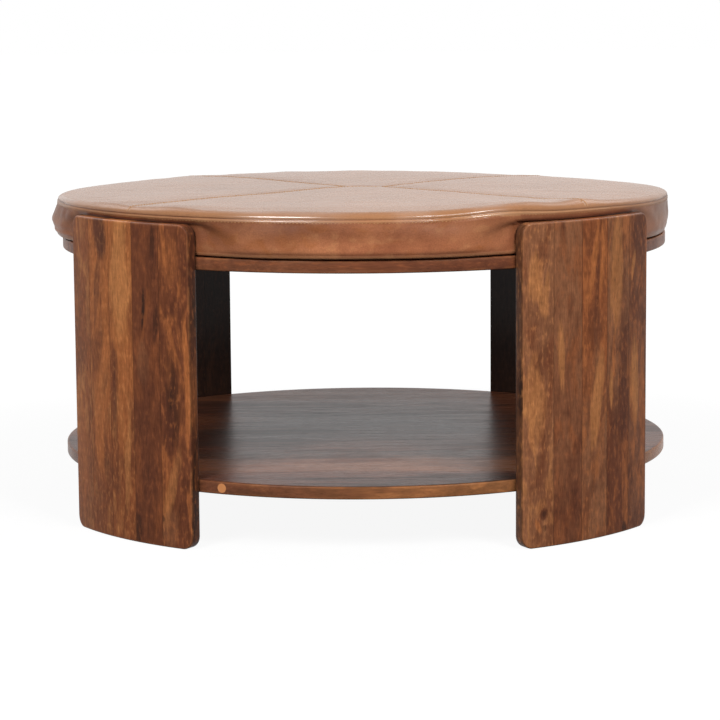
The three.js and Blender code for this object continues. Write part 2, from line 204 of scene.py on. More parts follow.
def lacquered_wood(
    name, seed, tones, marks=(), joints=(), drift=(0.12, 0.27), thickness=leg_thickness, roughness=0.38,
    specular=0.055, edge=("smoke", "smoke", 0.7), panel=True,
):
    """Stained wood under satin lacquer. Its grain note holds metres across the grain, through the
    wood and along the grain, and its rim note the distance from an edge. The tones are its colours
    at the two ends of drift, in its dark clouds and in its pale ones. A mark is an ellipse of
    another tone: where it lies and its half width and length, in millimetres, its lean and its
    strength. The narrow edges take a stain of their own, which may change along the wood. A leg's
    panel has near-black painted shade on its inner face, and is shinier along its top."""
    material, shader, here = finish_of(name, roughness, specular)
    place, rim = here.noted("grain", 1), here.noted("rim")
    low, high, dark, light = (stains[tone] for tone in tones.split())
    sway = (place.cloud((7, 7, 4), 2, seed) - 0.5) * 0.02 + (place.cloud((40, 40, 14), 2, seed) - 0.5) * 0.006
    sideways = place.node("CombineXYZ", {}, {0: sway})
    swayed = place.node("VectorMath", {"operation": "ADD"}, {0: place, 1: sideways})
    across, depth, along = swayed.part(0), place.part(1), place.part(2)
    ragged = swayed.cloud((260, 260, 22), 3, seed + 5) - 0.5

    # The slow colour of the body, its clouds, its stripes and its marks
    body = along + (swayed.cloud((45, 45, 7), 3, seed + 1, 0.6) - 0.5) * 0.4
    pale = swayed.cloud((55, 55, 15), 4, seed + 4, 0.8).mask(0.47, 0.66)
    blotch = swayed.cloud((32, 32, 11), 3, seed + 2, 1.2).mask(0.44, 0.68)
    stripe = swayed.cloud((130, 130, 13), 4, seed + 3).mask(0.52, 0.72)
    stain = here.cloud((15, 15, 9), 3, 4.0, 0.8).mask(0.5, 0.66)
    colour = body.mask(*drift).blend(low, high)
    colour = colour.under(light, pale * 0.6)
    colour = colour.under(dark, blotch * 0.72)
    colour = colour.under(dark, stripe * 0.25)
    colour = colour.under(stains["umber"], stain * 0.3)
    for tone, *sizes, lean, strength in marks:
        x, z, half_width, half_length = (size / 1000 for size in sizes)
        off = (across - x - (along - z) * lean) / half_width
        reach = off * off + ((along - z) / half_length) ** 2.0 + ragged * 1.8
        colour = colour.under(stains[tone], reach.mask(1.3, 0.3) * strength)

    # The edges' own stain, the year rings, the fibre and its pores
    low_edge, high_edge, share = edge
    narrow = rim.mask(*edge_stain) * (share * (pale * 0.6 + 0.75))
    if panel:
        narrow = narrow * along.mask(leg_height - 0.001, leg_height - 0.003)
    colour = colour.under(along.mask(*drift).blend(stains[low_edge], stains[high_edge]), narrow)
    heart = ((across - 0.03) ** 2.0 + (depth + 0.05 + along * 0.09) ** 2.0) ** 0.5
    rings = (heart * 1150 + ragged * 5).wave() * 0.5 + 0.5
    colour = colour.times(1.05 - rings * 0.09)
    fleck = swayed.cloud((270, 270, 105), 3, seed + 6)
    curl = swayed.cloud((45, 45, 170), 2, seed + 10)
    fibre = swayed.cloud((900, 900, 80), 3, seed + 7)
    pores = swayed.cloud((1700, 1700, 120), 1, seed + 8).mask(0.62, 0.7)
    colour = colour.under(light, fleck.mask(0.52, 0.7) * 0.3)
    colour = colour.times(fleck * 0.75 + fibre * 0.75 + curl * 0.35 + 0.075)
    colour = colour.under(stains["smoke"], pores * 0.4)

    # The glue lines, the worn arrises, and the painted shade on a leg's inner face
    for joint in joints:
        line = abs(place.part(0) - joint).mask(*joint_line)
        colour = colour.under(stains["smoke"], line * 0.42)
    arris = rim.mask(*worn_arris) * (abs(depth) - thickness / 2).mask(-0.0042, -0.001)
    worn = arris * place.cloud((60, 60, 60), 3, seed + 9).mask(0.35, 0.65)
    colour = colour.under(stains["honey"], worn * 0.2)
    if panel:
        inner = depth.mask(0.004 - thickness / 2, 0.001 - thickness / 2)
        top_arris = arris * along.mask(leg_height - 0.004, leg_height - 0.001)
        # Painted shade: the inner face is laid over with near-black
        colour = colour.under(stains["ebony"], inner * 0.8)
        fill(shader, {"Coat Weight": top_arris * 0.4 + inner * 0.22, "Coat Roughness": 0.2})
    fill(shader, {
        "Base Color": colour,
        "Roughness": roughness + (fibre - 0.5) * 0.16 + pores * 0.15 + (blotch - 0.5) * 0.04,
        "Normal": (fibre - pores * 0.8).bump(0.25 if panel else 0.15, 0.0003),
    })
    return material


def shape(name, vertices, faces, edges=()):
    """A mesh from its points and what joins them"""
    mesh = bpy.data.meshes.new(name)
    mesh.from_pydata(vertices, edges, faces)
    return mesh


def added(name, data):
    """A new object in the scene"""
    made = bpy.data.objects.new(name, data)
    bpy.context.scene.collection.objects.link(made)
    return made


def note(mesh, name, values):
    """Writes a number or a vector on each point of a mesh, for its finish to read"""
    numbers = np.ravel(values)
    kind, field = ("FLOAT", "value") if len(numbers) == len(mesh.vertices) else ("FLOAT_VECTOR", "vector")
    mesh.attributes.new(name, kind, "POINT").data.foreach_set(field, numbers)


def ring_faces(rings, count, first=0):
    """The faces between closed rings of points, which follow one another from the first"""
    faces = []
    for ring in range(rings - 1):
        for i in range(count):
            a, b = first + ring * count + i, first + ring * count + (i + 1) % count
            faces.append((a, b, b + count, a + count))
    return faces


def wooden(node, vertices, faces, grain, rim, material):
    """A wooden piece on the table's frame, which stands for one CAD node"""
    mesh = shape(f"{node}_finished", vertices, faces)
    mesh.validate()
    note(mesh, "grain", grain)
    note(mesh, "rim", rim)
    mesh.materials.append(material)
    mesh.shade_smooth()
    mesh.set_sharp_from_angle(angle=math.radians(32))
    piece = added(f"{node}_finished", mesh)
    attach(piece, "table_frame")
    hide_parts(node)


def eased(radius, angles):
    """How far in from its edge a rounding has come at each of some angles"""
    return [radius * (1 - math.cos(math.radians(angle))) for angle in angles]


def stave_section(arc):
    """A leg's section at an arc length along its outer face: radius, height and distance from its
    outline for each point. Each step of its easing lies further in and nearer the face."""
    from_side = leg_width / 2 - abs(arc)
    reach = max(abs(arc) - (leg_width / 2 - leg_corner_radius), 0)
    corner = []
    for step in [*eased(leg_arris_radius, easing_angles), wear_width]:
        inset = min(step, from_side)
        left = max(leg_arris_radius - inset, 0)
        from_face = leg_arris_radius - math.sqrt(leg_arris_radius ** 2 - left ** 2)
        turn = max((leg_corner_radius - inset) ** 2 - reach ** 2, 0)
        corner.append((from_face, leg_corner_radius - math.sqrt(turn), inset))
    outer = [(leg_outer_radius - f, z, inset) for f, z, inset in corner]
    inner = [(leg_outer_radius - leg_thickness + f, z, inset) for f, z, inset in corner]
    rise = lambda points: [(r, leg_height - z, inset) for r, z, inset in points]
    return [*outer, *reversed(rise(outer)), *rise(inner), *reversed(inner)]


def stave_arcs(start, end):
    """Where a stave needs a section: for the side's easing, the corners and the curve"""
    insets = eased(leg_arris_radius, easing_angles[1:]) + eased(leg_corner_radius, corner_angles)
    arcs = [side * (leg_width / 2 - inset) for inset in insets for side in (-1, 1)]
    arcs += list(np.linspace(start, end, 10)[1:-1])
    within = sorted(arc for arc in arcs if start + glue_line < arc < end - glue_line)
    return [start, *within, end]


def stave(leg, number, material):
    """One stave, with its own share of the leg's rounded corners and eased arrises"""
    half = leg_width / 2
    start = -half if number == 0 else number * stave_pitch - half + glue_line / 2
    end = half if number == stave_count - 1 else (number + 1) * stave_pitch - half - glue_line / 2
    middle = (number + 0.5) * stave_pitch - half
    vertices, grain, rim = [], [], []
    arcs = stave_arcs(start, end)
    for arc in arcs:
        azimuth = leg_azimuths[leg] + math.degrees(arc / leg_outer_radius)
        for radius, height, inset in stave_section(arc):
            vertices.append(around(radius, azimuth, height))
            grain.append((arc - middle, radius - leg_outer_radius + leg_thickness / 2, height))
            rim.append(inset)
    count = len(vertices) // len(arcs)
    faces = [(a, d, c, b) for a, b, c, d in ring_faces(len(arcs), count)]
    faces.append(tuple(range(count)))
    faces.append(tuple(reversed(range(len(vertices) - count, len(vertices)))))
    node = f"leg_{leg}_stave_{number + 1}"
    wooden(node, vertices, faces, grain, rim, material)


# The staves' tones, from the left edge of each leg
stave_tones = {
    "front_left": [
        "chestnut chestnut walnut honey", "chestnut amber russet honey", "chestnut amber russet honey",
        "russet russet umber chestnut", "russet russet umber amber",
    ],
    "front_right": [
        "hazel hazel russet honey", "walnut hazel umber chestnut", "hazel chestnut russet amber",
        "russet hazel umber amber", "walnut walnut umber amber",
    ],
    "rear_right": [
        "walnut chestnut umber amber", "russet walnut umber chestnut", "hazel chestnut russet honey",
        "chestnut walnut umber amber", "walnut russet umber hazel",
    ],
    "rear_left": [
        "hazel walnut russet amber", "chestnut chestnut umber honey", "russet walnut umber chestnut",
        "walnut hazel russet amber", "chestnut russet umber honey",
    ],
}

# The figure of single staves, in millimetres: a mark's tone, its place across and up the stave,
# its half width and half length, its lean and its strength
stave_marks = {
    "leg_front_left_stave_1": [
        ("honey", 9, 139, 6, 22, 0, 0.4), ("amber", -4, 100, 14, 70, 0, 0.4),
    ],
    "leg_front_left_stave_2": [
        ("umber", 4, 362, 13, 34, -0.08, 0.85), ("smoke", 10, 350, 6, 30, -0.05, 0.25),
        ("umber", -4, 300, 7, 50, 0.12, 0.5), ("amber", -14, 315, 6, 50, 0.04, 0.8),
        ("amber", 13, 250, 8, 60, 0, 0.8), ("amber", -2, 135, 12, 70, 0, 0.8),
        ("russet", -4, 30, 18, 50, 0, 0.5),
    ],
    "leg_front_left_stave_3": [
        ("russet", -15, 170, 6, 75, -0.04, 0.6), ("umber", -11, 190, 6, 40, 0.05, 0.6),
        ("honey", 2, 315, 18, 85, 0, 0.75), ("amber", 2, 170, 13, 80, 0, 0.4),
        ("honey", 10, 90, 6, 60, 0.03, 0.5),
    ],
    "leg_front_left_stave_4": [
        ("umber", 10, 345, 8, 50, 0, 0.7), ("smoke", 10, 358, 5, 22, 0, 0.5),
        ("smoke", -3, 280, 2.2, 26, 0.02, 0.95), ("umber", 16, 270, 7, 32, 0, 0.75),
        ("smoke", 17, 268, 5, 22, 0, 0.35), ("hazel", -4, 215, 10, 30, 0, 0.5),
        ("umber", -2, 170, 16, 70, 0.1, 0.5), ("umber", 4, 60, 13, 60, 0, 0.6),
        ("smoke", -17, 15, 6, 22, 0, 0.5),
    ],
    "leg_front_left_stave_5": [
        ("amber", -2, 340, 16, 30, 0, 0.3), ("umber", 6, 280, 12, 18, 0, 0.55),
        ("umber", -5, 175, 15, 66, -0.03, 0.7), ("smoke", -4, 168, 10, 50, -0.03, 0.5),
        ("amber", 17, 200, 5, 80, 0, 0.8), ("smoke", -7, 178, 2, 18, 0.03, 0.6),
        ("umber", -9, 138, 10, 30, -0.05, 0.7), ("honey", -6, 70, 8, 50, 0.24, 0.4),
        ("smoke", -20, 34, 3, 4, 0, 0.8), ("hazel", -10, 20, 14, 30, 0.2, 0.5),
    ],
    "leg_front_right_stave_1": [
        ("honey", -5, 318, 12, 30, 0, 0.5), ("honey", 0, 165, 12, 45, 0, 0.4),
        ("umber", 8, 224, 12, 20, 0, 0.4), ("umber", 4, 85, 14, 30, 0, 0.3),
        ("umber", 10, 40, 6, 7.5, 0.2, 0.9), ("smoke", 10, 40, 3, 3.5, 0.2, 0.5),
        ("smoke", 10, 23, 3.4, 3.8, 0, 0.5), ("amber", 1, 26, 4, 10, -0.3, 0.6),
        ("russet", 12, 150, 8, 90, 0, 0.4),
    ],
    "leg_front_right_stave_2": [
        ("hazel", 3, 352, 8, 22, 0, 0.5), ("honey", -13, 222, 6, 45, -0.05, 0.55),
        ("umber", 1, 285, 7, 16, 0.1, 0.45), ("umber", 12, 116, 8, 14, 0.2, 0.55),
        ("umber", 15, 52, 9, 28, 0, 0.6),
    ],
    "leg_front_right_stave_3": [
        ("amber", -5, 332, 5, 52, 0.16, 0.9), ("amber", 10, 335, 5, 48, 0.05, 0.9),
        ("umber", 3, 310, 4, 50, 0.1, 0.6), ("umber", -5, 255, 13, 32, 0, 0.5),
        ("honey", 2, 165, 10, 62, 0.12, 0.65), ("umber", -2, 60, 10, 12, 0.3, 0.4),
    ],
    "leg_front_right_stave_4": [
        ("honey", -5, 315, 13, 70, 0, 0.55), ("umber", 11, 175, 10, 72, 0, 0.75),
        ("honey", -13, 178, 4, 26, 0, 0.7), ("smoke", 16, 4, 5, 10, 0, 0.7),
    ],
    "leg_front_right_stave_5": [
        ("umber", 0, 362, 22, 30, 0, 0.5), ("honey", -15, 322, 4, 18, 0.2, 0.6),
        ("umber", 2, 262, 16, 20, -0.9, 0.6), ("honey", -8, 180, 10, 55, 0, 0.7),
        ("amber", 10, 150, 7, 80, 0, 0.5), ("umber", 4, 10, 16, 26, 0, 0.5),
    ],
}

for leg_number, leg in enumerate(leg_azimuths):
    for number in range(stave_count):
        node = f"leg_{leg}_stave_{number + 1}"
        joints = []
        if number > 0:
            joints.append(-stave_pitch / 2)
        if number < stave_count - 1:
            joints.append(stave_pitch / 2)
        seed = 10 * leg_number + 1.7 * number + 3
        wood = lacquered_wood(node, seed, stave_tones[leg][number], stave_marks.get(node, ()), joints)
        stave(leg, number, wood)


# THE SHELF
# A round board of six planks, glued edge to edge with the grain from left to right. It rests
# between the legs, and two dowels a leg go through its rim into the leg's inner face. Like the
# legs it is stained and lacquered, and its top is polished a little more.

board_thickness = 0.015
board_radius = 0.3827
board_arris_radius = 0.002
board_facets = 360
plank_figure_length = 0.45
shelf_underside = 0.0665
shelf_joints = [-0.78, -0.37, -0.04, 0.36, 0.7]
shelf_tones = [
    "umber smoke smoke russet", "walnut hazel umber chestnut", "umber russet smoke walnut",
    "russet umber smoke walnut", "umber russet smoke russet", "walnut russet umber hazel",
]
shelf_marks = {2: [("smoke", -158, 0, 42, 1000, 0, 0.75), ("umber", -296, 0, 10, 1000, 0, 0.8)]}
shelf_shines = [0.086, 0.088, 0.080, 0.068, 0.058, 0.048]


def board_profile(underside):
    """Half of a board's section, from near its middle below to near its middle above"""
    ease, side, top = board_arris_radius, board_radius - board_arris_radius, underside + board_thickness
    turns = [math.radians(angle) for angle in easing_angles]
    low = [(side + ease * math.sin(turn), underside + ease - ease * math.cos(turn)) for turn in turns]
    high = [(side + ease * math.cos(turn), top - ease + ease * math.sin(turn)) for turn in turns]
    inner = board_radius - wear_width
    return [(inner, underside), *low, *high, (inner, top)]


def plank(underside, low, high):
    """The points and faces of one plank, cut out of a finely turned disc along its two joints"""
    disc = bmesh.new()
    loops = []
    for radius, height in board_profile(underside):
        ring = [around(radius, 360 * i / board_facets, height) for i in range(board_facets)]
        loops.append([disc.verts.new(point) for point in ring])
    for below, above in zip(loops, loops[1:]):
        for i in range(board_facets):
            k = (i + 1) % board_facets
            disc.faces.new((below[i], below[k], above[k], above[i]))
    disc.faces.new(list(reversed(loops[0])))
    disc.faces.new(loops[-1])
    for place, side in ((low + glue_line / 2, -1), (high - glue_line / 2, 1)):
        if abs(place) < board_radius:
            everything = disc.verts[:] + disc.edges[:] + disc.faces[:]
            cut = bmesh.ops.bisect_plane(
                disc, geom=everything, plane_co=(0, place, 0), plane_no=(0, side, 0), clear_outer=True
            )
            line = [edge for edge in cut["geom_cut"] if isinstance(edge, bmesh.types.BMEdge)]
            bmesh.ops.contextual_create(disc, geom=line)
    bmesh.ops.recalc_face_normals(disc, faces=disc.faces[:])
    disc.verts.index_update()
    vertices = [vertex.co.copy() for vertex in disc.verts]
    faces = [tuple(vertex.index for vertex in face.verts) for face in disc.faces]
    disc.free()
    return vertices, faces


def planks(name, underside, joint_shares, tones, marks, seed, roughness, shines, edge):
    """The planks of one board. Their joints lie at shares of its radius, from front to back, and
    the grain's figure is drawn out along them."""
    edges = [-1.0, *(share * board_radius for share in joint_shares), 1.0]
    middle = underside + board_thickness / 2
    for number, (low, high) in enumerate(zip(edges, edges[1:])):
        node = f"{name}_{number + 1}"
        vertices, faces = plank(underside, low, high)
        grain = [(v.y, v.z - middle, v.x * plank_figure_length) for v in vertices]
        rim = [board_radius - math.hypot(v.x, v.y) for v in vertices]
        wood = lacquered_wood(
            node, seed + number, tones[number], marks.get(number + 1, ()),
            joints=[joint for joint in (low, high) if abs(joint) < board_radius], drift=(-0.09, 0.09),
            thickness=board_thickness, roughness=roughness, specular=shines[number], edge=edge, panel=False,
        )
        wooden(node, vertices, faces, grain, rim, wood)


planks(
    "shelf_plank", shelf_underside, shelf_joints, shelf_tones, shelf_marks, seed=60, roughness=0.3,
    shines=shelf_shines, edge=("walnut", "honey", 0.55),
)


# THE PLUG
# A round plug of paler wood, with its end grain outwards, closes a bore in the shelf's rim.
# It is glued in and sanded flush with the rim.

plug_azimuth = -26.1
plug_radius = 0.0056
plug_depth = 0.012
plug_easing = 0.0002
plug_height = shelf_underside + board_thickness / 2
plug_proud = 0.00012
plug_facets = 48


def face_outwards(mesh):
    """Turns every face of a closed mesh outwards"""
    turned = bmesh.new()
    turned.from_mesh(mesh)
    bmesh.ops.recalc_face_normals(turned, faces=turned.faces[:])
    turned.to_mesh(mesh)
    turned.free()


material, shader, place = finish_of("plug_end_grain", 0.42)
middle = around(board_radius, plug_azimuth, plug_height)
turned = place.node("Mapping", {"vector_type": "TEXTURE"}, {1: middle, 2: (0, 0, math.radians(plug_azimuth))})
ring = ((turned.part(0) + 0.003) ** 2.0 + (turned.part(2) - 0.002) ** 2.0) ** 0.5
rings = (ring * 5200 + turned.cloud((300, 300, 300), 2) * 4).wave() * 0.5 + 0.5
pores = turned.cloud((2600, 300, 2600), 1).mask(0.58, 0.68)
colour = (rings * 0.35).blend(rgb("d08c58"), rgb("b06e42"))
fill(shader, {
    "Base Color": colour.under(stains["umber"], pores * 0.35),
    "Roughness": 0.38 + pores * 0.2,
    "Normal": (1 - pores).bump(0.2),
})

vertices = []
outward, sideways = around(1, plug_azimuth, 0), around(1, plug_azimuth + 90, 0)
for depth, radius in ((-plug_depth, plug_radius), (-plug_easing, plug_radius), (0, 0.97 * plug_radius)):
    for i in range(plug_facets):
        turn = 2 * math.pi * i / plug_facets
        across, up = radius * math.sin(turn), radius * math.cos(turn)
        sagitta = math.sqrt((board_radius + plug_proud) ** 2 - across ** 2)
        vertices.append(outward * (sagitta + depth) + sideways * across + Vector((0, 0, plug_height + up)))
faces = ring_faces(3, plug_facets)
faces.append(tuple(reversed(range(plug_facets))))
faces.append(tuple(range(2 * plug_facets, 3 * plug_facets)))
mesh = shape("shelf_plug_finished", vertices, faces)
mesh.materials.append(material)
face_outwards(mesh)
mesh.shade_smooth()
mesh.set_sharp_from_angle(angle=math.radians(50))
plug = added("shelf_plug_finished", mesh)
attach(plug, "table_frame")
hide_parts("shelf_rim_plug")


# THE UPPER BOARD
# The same kind of round board, six planks, dowelled between the legs under the pad.
# Only its rim and its underside are ever seen while the pad lies on it.

top_board_underside = 0.3287
top_board_joints = [-0.67, -0.33, 0.03, 0.34, 0.69]
top_board_tones = [
    "walnut russet umber chestnut", "russet walnut umber chestnut", "walnut walnut umber amber",
    "russet russet umber chestnut", "walnut russet umber hazel", "russet walnut umber chestnut",
]
planks(
    "top_board_plank", top_board_underside, top_board_joints, top_board_tones, {}, seed=80, roughness=0.38,
    shines=[0.09] * 6, edge=("umber", "umber", 0.3),
)


# THE DOWELS
# Plain beech pins with chamfered ends, glued into the boards and the legs. The CAD's own
# pins are kept, and only get their wood.


def dress(node, material):
    """Gives a CAD node its finish"""
    node.data.materials.clear()
    node.data.materials.append(material)


material, shader, place = finish_of("beech_pin", 0.6)
fibre = place.cloud((260, 260, 900), 3)
rays = place.cloud((700, 700, 2400), 1).mask(0.6, 0.72)
colour = fibre.mask(0.3, 0.7).blend(rgb("d3ae86"), rgb("b98f64"))
fill(shader, {
    "Base Color": colour.under(rgb("8f6a46"), rays * 0.5),
    "Roughness": 0.55 + fibre * 0.15,
    "Normal": fibre.bump(0.3),
})
for name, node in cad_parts.items():
    if name.startswith("dowel_"):
        dress(node, material)


# THE PAD'S BASE AND ITS UNDERSIDE CLOTH
# A disc of birch plywood carries the pad. The leather is turned in under it and stapled, and a
# dark woven cloth covers the staples. Both are the CAD's own solids, and only get their finish.

ply_thickness = 0.0015
weave_turn = 2600

base_low, base_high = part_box("pad_base")
material, shader, place = finish_of("birch_plywood", 0.6)
ply = (place.part(2) - base_low.z) / ply_thickness
layer = abs(ply.maths("FRACT", ply) - 0.5)
figure = place.cloud((9, 60, 60), 4, 2, 1.0)
colour = figure.mask(0.35, 0.68).blend(rgb("d9bd92"), rgb("b99362"))
fill(shader, {
    "Base Color": colour.under(rgb("8a6740"), layer.mask(0.36, 0.5) * 0.5),
    "Roughness": 0.55 + figure * 0.15,
    "Normal": figure.bump(0.2),
})
dress(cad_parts["pad_base"], material)

material, shader, place = finish_of("dark_underside_cloth", 0.9)
weave = (place.part(0) * weave_turn).wave() * (place.part(1) * weave_turn).wave()
lint = place.cloud((500, 500, 500), 2).mask(0.6, 0.75)
colour = (weave * 0.5 + 0.5).blend(rgb("161413"), rgb("2b2826"))
fill(shader, {
    "Base Color": colour.under(rgb("4a4643"), lint * 0.3),
    "Roughness": 0.95 - lint * 0.1,
    "Normal": weave.bump(0.4),
})
dress(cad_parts["pad_underside_cloth"], material)


# THE PAD'S LEATHER
# Four panels of tan hide are sewn with an X of seams that meet at a short centre seam. A side
# band is sewn on at the rim, where the seam is turned down and topstitched, and it is turned in
# under the base. Foam fills it, so the panels stand up a little between their seams.

seam_radius = 0.388
seam_level = 0.391
crown_rise = 0.0095
shoulder_width = 0.012
shoulder_rise_behind = 0.0012
shoulder_rise_before = 0.0082
dome_power = 4.5
centre_seam_length = 0.048
seam_azimuths = {"front_left": -45.9, "front_right": 42.7, "back_right": 140.0, "back_left": -140.0}
held_radius = 0.3822
neck_height = 0.0072
hem_level = 0.3453
band_bulge = 0.0045
side_half_angle = 24
foot_radius = 0.004
fold_level = hem_level + 0.0045
leg_half_angle = math.degrees(leg_width / leg_outer_radius) / 2
free_margin = leg_half_angle + 0.4
free_room_above = 1.5
free_room_below = 13.0

# Where the front right leg pushes the rim up: an azimuth, a half size round it and a rise
rim_pushes = [(25, 8, 0.0045), (42, 16, 0.0028)]
push_share = 0.8

# How the band sags out on the left: a share of the way down, a half size and how far it stands out
left_sags = [(0.60, 0.24, 0.0060), (0.86, 0.14, 0.0026)]

# How far the pad lies lower than an even one at the back, and is drawn in on the right
back_sink = 0.0016
back_right_sink = 0.0042
back_left_sink = 0.0014
right_draw = 0.0028

seam_lines = []
for name, azimuth in seam_azimuths.items():
    side = -1 if name.endswith("left") else 1
    seam_lines.append((Vector((side * centre_seam_length / 2, 0, 0)), around(seam_radius, azimuth, 0)))
seam_lines.append((seam_lines[0][0], seam_lines[1][0]))


def clamp(value):
    """The value, but no less than 0 and no more than 1"""
    return min(max(value, 0), 1)


def bell(offset, width):
    """1 at no offset, and nearly 0 from twice the width on"""
    return math.exp(-(offset / width) ** 2)


def turn_from(azimuth, other):
    """How far an azimuth lies from another, the shorter way round"""
    return (azimuth - other + 180) % 360 - 180


def seam_distance(points):
    """How far points lie from the nearest seam of the top, in plan"""
    flat = np.asarray(points)[:, :2]
    least = np.full(len(flat), 1.0)
    for start, end in seam_lines:
        a, b = np.array(start[:2]), np.array(end[:2])
        share = np.clip(((flat - a) @ (b - a)) / ((b - a) @ (b - a)), 0, 1)
        least = np.minimum(least, np.linalg.norm(flat - (a + share[:, None] * (b - a)), axis=1))
    return least


def band_freedom(azimuth, down=0.0):
    """How freely the side swells: not at all beside a leg, and fully a little way from it, which
    is further for its foot than for its seam"""
    free_room = free_room_above + (free_room_below - free_room_above) * max(down, 0) ** 0.6
    margin = free_margin - 2 * math.exp(-down / 0.15)
    shares = [clamp((abs(turn_from(azimuth, leg)) - margin) / free_room) for leg in leg_azimuths.values()]
    return math.sin(math.pi / 2 * min(shares)) ** 2


def pushed_up(azimuth):
    """How far the front right leg pushes the pad's rim up"""
    return sum(rise * bell(azimuth - at, wide) for at, wide, rise in rim_pushes)


def band_radius(height, azimuth):
    """The band stands nearly upright and turns in at its foot. It sags outwards on the left, and
    is drawn in on the right, as hand-stretched hide is. Beside a leg it is held in below a neck."""
    down = (seam_level - height) / (seam_level - hem_level)
    left = bell(turn_from(azimuth, -92), side_half_angle)
    right = bell(turn_from(azimuth, 90), side_half_angle)
    bulge = band_bulge * (1 - 0.45 * left - 1.1 * right)
    sag = left * sum(out * bell(down - at, tall) for at, tall, out in left_sags)
    turning_in = 12 - 5 * (left + right)
    free = seam_radius + (held_radius + 0.0025 * (left + right) - seam_radius) * down ** turning_in
    free += bulge * (1 - math.exp(-down / 0.05)) * (0.1 + 0.9 * down) * (1 - down ** (turning_in + 2)) + sag
    freedom = band_freedom(azimuth, down)
    below_neck = leg_height + neck_height - push_share * pushed_up(azimuth) - height
    share = clamp(below_neck / (neck_height * (1 + 3 * freedom)))
    held = held_radius + (seam_radius - held_radius) * (1 - share ** 2) ** (0.5 + 3 * freedom)
    return held + (free - held) * freedom


def crown(x, y):
    """The top's height in plan: a rounded shoulder above the seam, high at the front and low at
    the back, and a gentle dome inside it"""
    radius = math.hypot(x, y)
    before = 0.5 - 0.5 * y / max(radius, 0.001)
    shoulder = shoulder_rise_behind + (shoulder_rise_before - shoulder_rise_behind) * before
    over = clamp((radius - seam_radius + shoulder_width) / shoulder_width)
    dome = 1 - min(radius / seam_radius, 1) ** dome_power
    return seam_level + shoulder * math.sqrt(1 - over * over) + (crown_rise - shoulder) * dome


def settled(point):
    """Where a place of the even form lies on the real pad. Its right side is drawn in, its sides
    and back sit a little lower than its front, and the front right leg pushes its rim up."""
    right = max(point.x / seam_radius, 0)
    behind = clamp(1 + point.y / seam_radius)
    raised = clamp((point.z - hem_level) / (seam_level - hem_level))
    back_corner = min(2 * abs(point.x) * max(point.y, 0) / seam_radius ** 2, 1)
    sunk = back_corner * (back_right_sink if point.x > 0 else back_left_sink)
    azimuth = math.degrees(math.atan2(point.x, -point.y))
    edge = min(math.hypot(point.x, point.y) / seam_radius, 1) ** 4
    rise = pushed_up(azimuth) * edge - back_sink * behind - sunk
    return Vector((point.x - right_draw * right ** 2, point.y, point.z + rise * raised))


def skin(name, rows, low_centre, high_centre):
    """A closed skin from rows of points round the pad, with a point at its middle above and below"""
    count = len(rows[0])
    vertices = [*sum(rows, []), low_centre, high_centre]
    faces = ring_faces(len(rows), count)
    last = (len(rows) - 1) * count
    for i in range(count):
        k = (i + 1) % count
        faces.append((i, len(vertices) - 2, k))
        faces.append((last + i, last + k, len(vertices) - 1))
    return shape(name, vertices, faces)


# The pad's form as cloth: how far it starts inside its real skin, how near a seam it is held, and
# its own stiffness and pressure
form_slack = 0.0015
held_width = 0.006
seam_hold = 0.8
hide_as_cloth = {
    "quality": 4,
    "mass": 0.4,
    "tension_stiffness": 25,
    "compression_stiffness": 25,
    "shear_stiffness": 12,
    "bending_stiffness": 1.2,
    "use_pressure": True,
    "uniform_pressure_force": 4,
    "shrink_min": -0.006,
    "vertex_group_mass": "held",
}


def swell(voxel, frames, cap):
    """Blows the pad's form up as cloth between its seams, and says how far each place moved."""
    rows = []
    azimuths = np.arange(-180, 180, 1.5)
    for height in np.linspace(hem_level, seam_level, 12):
        rows.append([around(band_radius(height, a) - form_slack, a, height) for a in azimuths])
    for share in (0.97, 0.9, 0.75, 0.5, 0.25):
        ring = [around(share * seam_radius, a, 0) for a in azimuths]
        rows.append([Vector((p.x, p.y, crown(p.x, p.y) - form_slack)) for p in ring])
    middle = Vector((0, 0, crown(0, 0) - form_slack))
    form = added("pad_form", skin("pad_form", rows, Vector((0, 0, hem_level)), middle))
    remesh = form.modifiers.new("voxels", "REMESH")
    remesh.mode, remesh.voxel_size = "VOXEL", voxel
    depsgraph = bpy.context.evaluated_depsgraph_get()
    cut = bpy.data.meshes.new_from_object(form.evaluated_get(depsgraph))
    form.modifiers.remove(remesh)
    form.data = cut

    # The seams, the rim and the hem are held while the rest swells
    before = np.array([v.co for v in cut.vertices])
    radii = np.hypot(before[:, 0], before[:, 1])
    on_top = before[:, 2] > seam_level - 0.002
    rim_gap = np.hypot(radii - seam_radius + form_slack, before[:, 2] - seam_level)
    weights = np.where(on_top, np.exp(-(seam_distance(before) / held_width) ** 2), 0) * seam_hold
    weights = np.maximum(weights, np.exp(-(rim_gap / held_width) ** 2))
    weights = np.maximum(weights, (before[:, 2] < hem_level + 0.004) * 1.0)
    held = form.vertex_groups.new(name="held")
    for i, weight in enumerate(weights):
        held.add([i], float(weight), "REPLACE")
    cloth = form.modifiers.new("swell", "CLOTH")
    for setting, value in hide_as_cloth.items():
        setattr(cloth.settings, setting, value)
    cloth.settings.effector_weights.gravity = 0
    cloth.collision_settings.use_collision = False
    for number in range(1, frames + 1):
        bpy.context.scene.frame_set(number)
    blown = form.evaluated_get(bpy.context.evaluated_depsgraph_get())
    after = np.array([v.co for v in blown.data.vertices])
    form.modifiers.remove(cloth)
    bpy.context.scene.frame_set(1)
    moved = after - before
    length = np.linalg.norm(moved, axis=1, keepdims=True)
    moved *= np.minimum(1, cap / np.maximum(length, 1e-9))
    bpy.data.objects.remove(form)
    return before, moved


swollen = swell(voxel=0.006, frames=20, cap=0.0045)
tree_of_places = KDTree(len(swollen[0]))
for i, point in enumerate(swollen[0]):
    tree_of_places.insert(point, i)
tree_of_places.balance()


